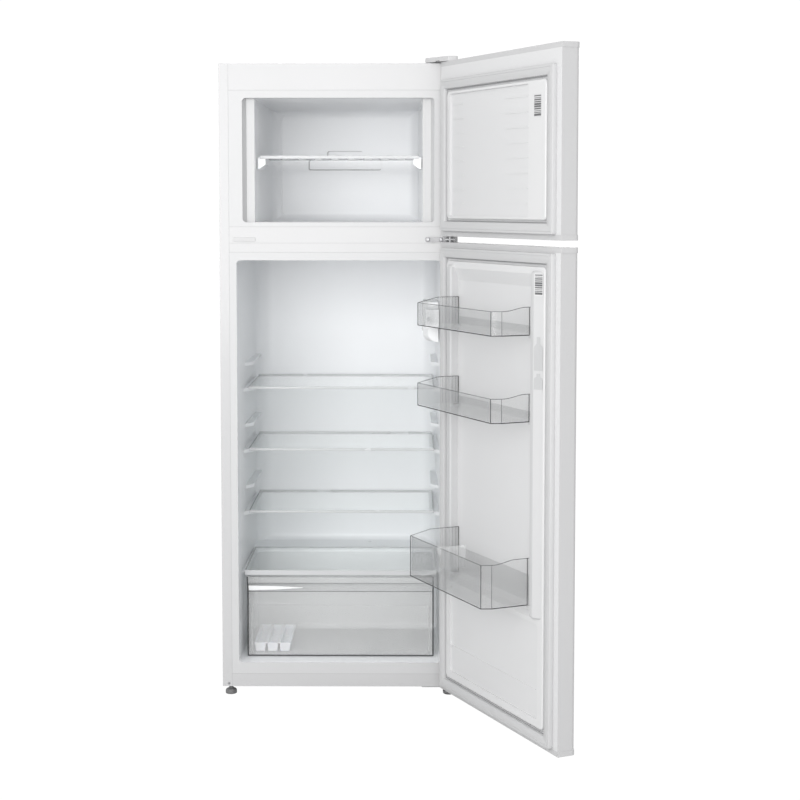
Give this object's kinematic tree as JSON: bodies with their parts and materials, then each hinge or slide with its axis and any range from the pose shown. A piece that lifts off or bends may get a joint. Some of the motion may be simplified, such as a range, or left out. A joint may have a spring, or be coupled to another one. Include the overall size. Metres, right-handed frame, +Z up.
{
  "type": "top freezer refrigerator",
  "caption": "Upright two-door refrigerator with the freezer on top, doors open to the right, glass shelves, a clear crisper drawer and clear door bins.",
  "frame": {"origin": "on the floor, at the centre of the cabinet's footprint", "axes": "+Z up, -Y out of the cabinet's front towards the user, +X to the user's right, where the doors are hinged"},
  "size_m": [0.7649, 1.0246, 1.4613],
  "materials": {
    "body_paint": "smooth semi-gloss light grey paint",
    "door_paint": "smooth semi-gloss light grey paint",
    "liner": "smooth white moulded sheet",
    "door_liner": "smooth pale grey moulded sheet",
    "cap_plastic": "fine-grained grey moulding",
    "gasket": "soft pale grey vinyl",
    "foam": "rigid closed-cell foam",
    "galvanised": "zinc-coated sheet",
    "hinge_steel": "dark plated steel",
    "screw_steel": "plated steel",
    "shelf_glass": "clear toughened glass",
    "shelf_trim": "smooth pale moulding",
    "clear_plastic": "clear moulded polystyrene",
    "smoke_plastic": "clear grey-tinted polystyrene",
    "ice_tray": "white flexible moulding",
    "lamp_plastic": "white moulding",
    "lamp_lens": "frosted clear moulding",
    "bulb_glass": "frosted glass",
    "knob_plastic": "grey moulding",
    "foot_plastic": "dark moulding",
    "black_paint": "black enamel",
    "black_plastic": "black moulding",
    "black_rubber": "soft black rubber",
    "copper": "drawn copper tube",
    "aluminium": "rolled sheet"
  },
  "bodies": {
    "cabinet": {"side_panel_left": "body_paint", "side_panel_right": "body_paint", "top_panel": "body_paint", "back_panel": "galvanised", "base_plate": "galvanised", "middle_beam": "body_paint", "hinge_hole_cover": "cap_plastic", "fridge_liner": "liner", "freezer_liner": "liner", "cabinet_foam": "foam", "evaporators": "aluminium", "compressor": "black_paint", "compressor_mounts": "black_rubber", "relay_box": "black_plastic", "drip_tray": "black_plastic", "drain_tube": "cap_plastic", "refrigerant_pipes": "copper", "condenser": "black_paint", "condenser_brackets": "black_plastic", "cord_gland": "black_plastic", "lamp_housing": "lamp_plastic", "lamp_cover": "lamp_lens", "lamp_bulb": "bulb_glass", "top_hinge": "hinge_steel", "top_hinge_cover": "cap_plastic", "middle_hinge": "hinge_steel", "bottom_hinge": "hinge_steel", "hinge_screws": "screw_steel", "roller_brackets": "galvanised"},
    "thermostat_knob": {"thermostat_knob": "knob_plastic"},
    "door_switch": {"door_switch": "knob_plastic"},
    "front_foot_left": {"front_foot_left": "foot_plastic"},
    "front_foot_right": {"front_foot_right": "foot_plastic"},
    "rear_roller_left": {"rear_roller_left": "foot_plastic"},
    "rear_roller_right": {"rear_roller_right": "foot_plastic"},
    "shelf_upper": {"shelf_upper": "shelf_glass", "shelf_upper_trim": "shelf_trim"},
    "shelf_middle": {"shelf_middle": "shelf_glass", "shelf_middle_trim": "shelf_trim"},
    "shelf_lower": {"shelf_lower": "shelf_glass", "shelf_lower_trim": "shelf_trim"},
    "crisper_cover": {"crisper_cover": "shelf_glass", "crisper_cover_trim": "shelf_trim"},
    "crisper_drawer": {"crisper_drawer": "clear_plastic"},
    "ice_tray": {"ice_tray": "ice_tray"},
    "freezer_shelf": {"freezer_shelf": "shelf_trim"},
    "freezer_door": {"freezer_door_skin": "door_paint", "freezer_door_caps": "cap_plastic", "freezer_door_foam": "foam", "freezer_door_gasket": "gasket", "freezer_door_liner": "door_liner"},
    "fridge_door": {"fridge_door_skin": "door_paint", "fridge_door_caps": "cap_plastic", "fridge_door_foam": "foam", "fridge_door_gasket": "gasket", "fridge_door_liner": "door_liner"},
    "door_bin_upper": {"door_bin_upper": "smoke_plastic"},
    "door_bin_middle": {"door_bin_middle": "smoke_plastic"},
    "bottle_bin": {"bottle_bin": "smoke_plastic"},
    "bottle_divider": {"bottle_divider": "clear_plastic"}
  },
  "joints": [
    {"name": "freezer_door_hinge", "type": "hinge", "parent": "cabinet", "child": "freezer_door", "pos_m": [0.2528, -0.2771, 1.25], "axis": [0, 0, 1], "range_deg": [-115, 5]},
    {"name": "fridge_door_hinge", "type": "hinge", "parent": "cabinet", "child": "fridge_door", "pos_m": [0.2528, -0.2771, 0.54], "axis": [0, 0, 1], "range_deg": [-115, 5]},
    {"name": "shelf_upper_slide", "type": "slide", "parent": "cabinet", "child": "shelf_upper", "axis": [0, -1, 0], "range_m": [0, 0.15]},
    {"name": "shelf_middle_slide", "type": "slide", "parent": "cabinet", "child": "shelf_middle", "axis": [0, -1, 0], "range_m": [0, 0.15]},
    {"name": "shelf_lower_slide", "type": "slide", "parent": "cabinet", "child": "shelf_lower", "axis": [0, -1, 0], "range_m": [0, 0.15]},
    {"name": "crisper_cover_slide", "type": "slide", "parent": "cabinet", "child": "crisper_cover", "axis": [0, -1, 0], "range_m": [0, 0.12]},
    {"name": "crisper_drawer_slide", "type": "slide", "parent": "cabinet", "child": "crisper_drawer", "axis": [0, -1, 0], "range_m": [0, 0.2]},
    {"name": "ice_tray_lift", "type": "slide", "parent": "crisper_drawer", "child": "ice_tray", "axis": [0, 0, 1], "range_m": [0, 0.1]},
    {"name": "freezer_shelf_slide", "type": "slide", "parent": "cabinet", "child": "freezer_shelf", "axis": [0, -1, 0], "range_m": [0, 0.15]},
    {"name": "door_bin_upper_lift", "type": "slide", "parent": "fridge_door", "child": "door_bin_upper", "axis": [0, 0, 1], "range_m": [0, 0.03]},
    {"name": "door_bin_middle_lift", "type": "slide", "parent": "fridge_door", "child": "door_bin_middle", "axis": [0, 0, 1], "range_m": [0, 0.03]},
    {"name": "bottle_bin_lift", "type": "slide", "parent": "fridge_door", "child": "bottle_bin", "axis": [0, 0, 1], "range_m": [0, 0.03]},
    {"name": "bottle_divider_slide", "type": "slide", "parent": "bottle_bin", "child": "bottle_divider", "axis": [-0.4226, 0.9063, 0], "range_m": [-0.12, 0.12]},
    {"name": "thermostat_knob_turn", "type": "hinge", "parent": "cabinet", "child": "thermostat_knob", "pos_m": [0.2, -0.112, 0.858], "axis": [1, 0, 0], "range_deg": [-140, 140]},
    {"name": "door_switch_press", "type": "slide", "parent": "cabinet", "child": "door_switch", "axis": [0, 1, 0], "range_m": [0, 0.005], "stiffness_N_per_m": 200, "springref_m": -0.002},
    {"name": "front_foot_left_turn", "type": "hinge", "parent": "cabinet", "child": "front_foot_left", "pos_m": [-0.2528, -0.228, 0.01], "axis": [0, 0, 1], "continuous": true},
    {"name": "front_foot_right_turn", "type": "hinge", "parent": "cabinet", "child": "front_foot_right", "pos_m": [0.2528, -0.228, 0.01], "axis": [0, 0, 1], "continuous": true},
    {"name": "rear_roller_left_roll", "type": "hinge", "parent": "cabinet", "child": "rear_roller_left", "pos_m": [-0.246, 0.217, 0.012], "axis": [1, 0, 0], "continuous": true},
    {"name": "rear_roller_right_roll", "type": "hinge", "parent": "cabinet", "child": "rear_roller_right", "pos_m": [0.246, 0.217, 0.012], "axis": [1, 0, 0], "continuous": true}
  ]
}
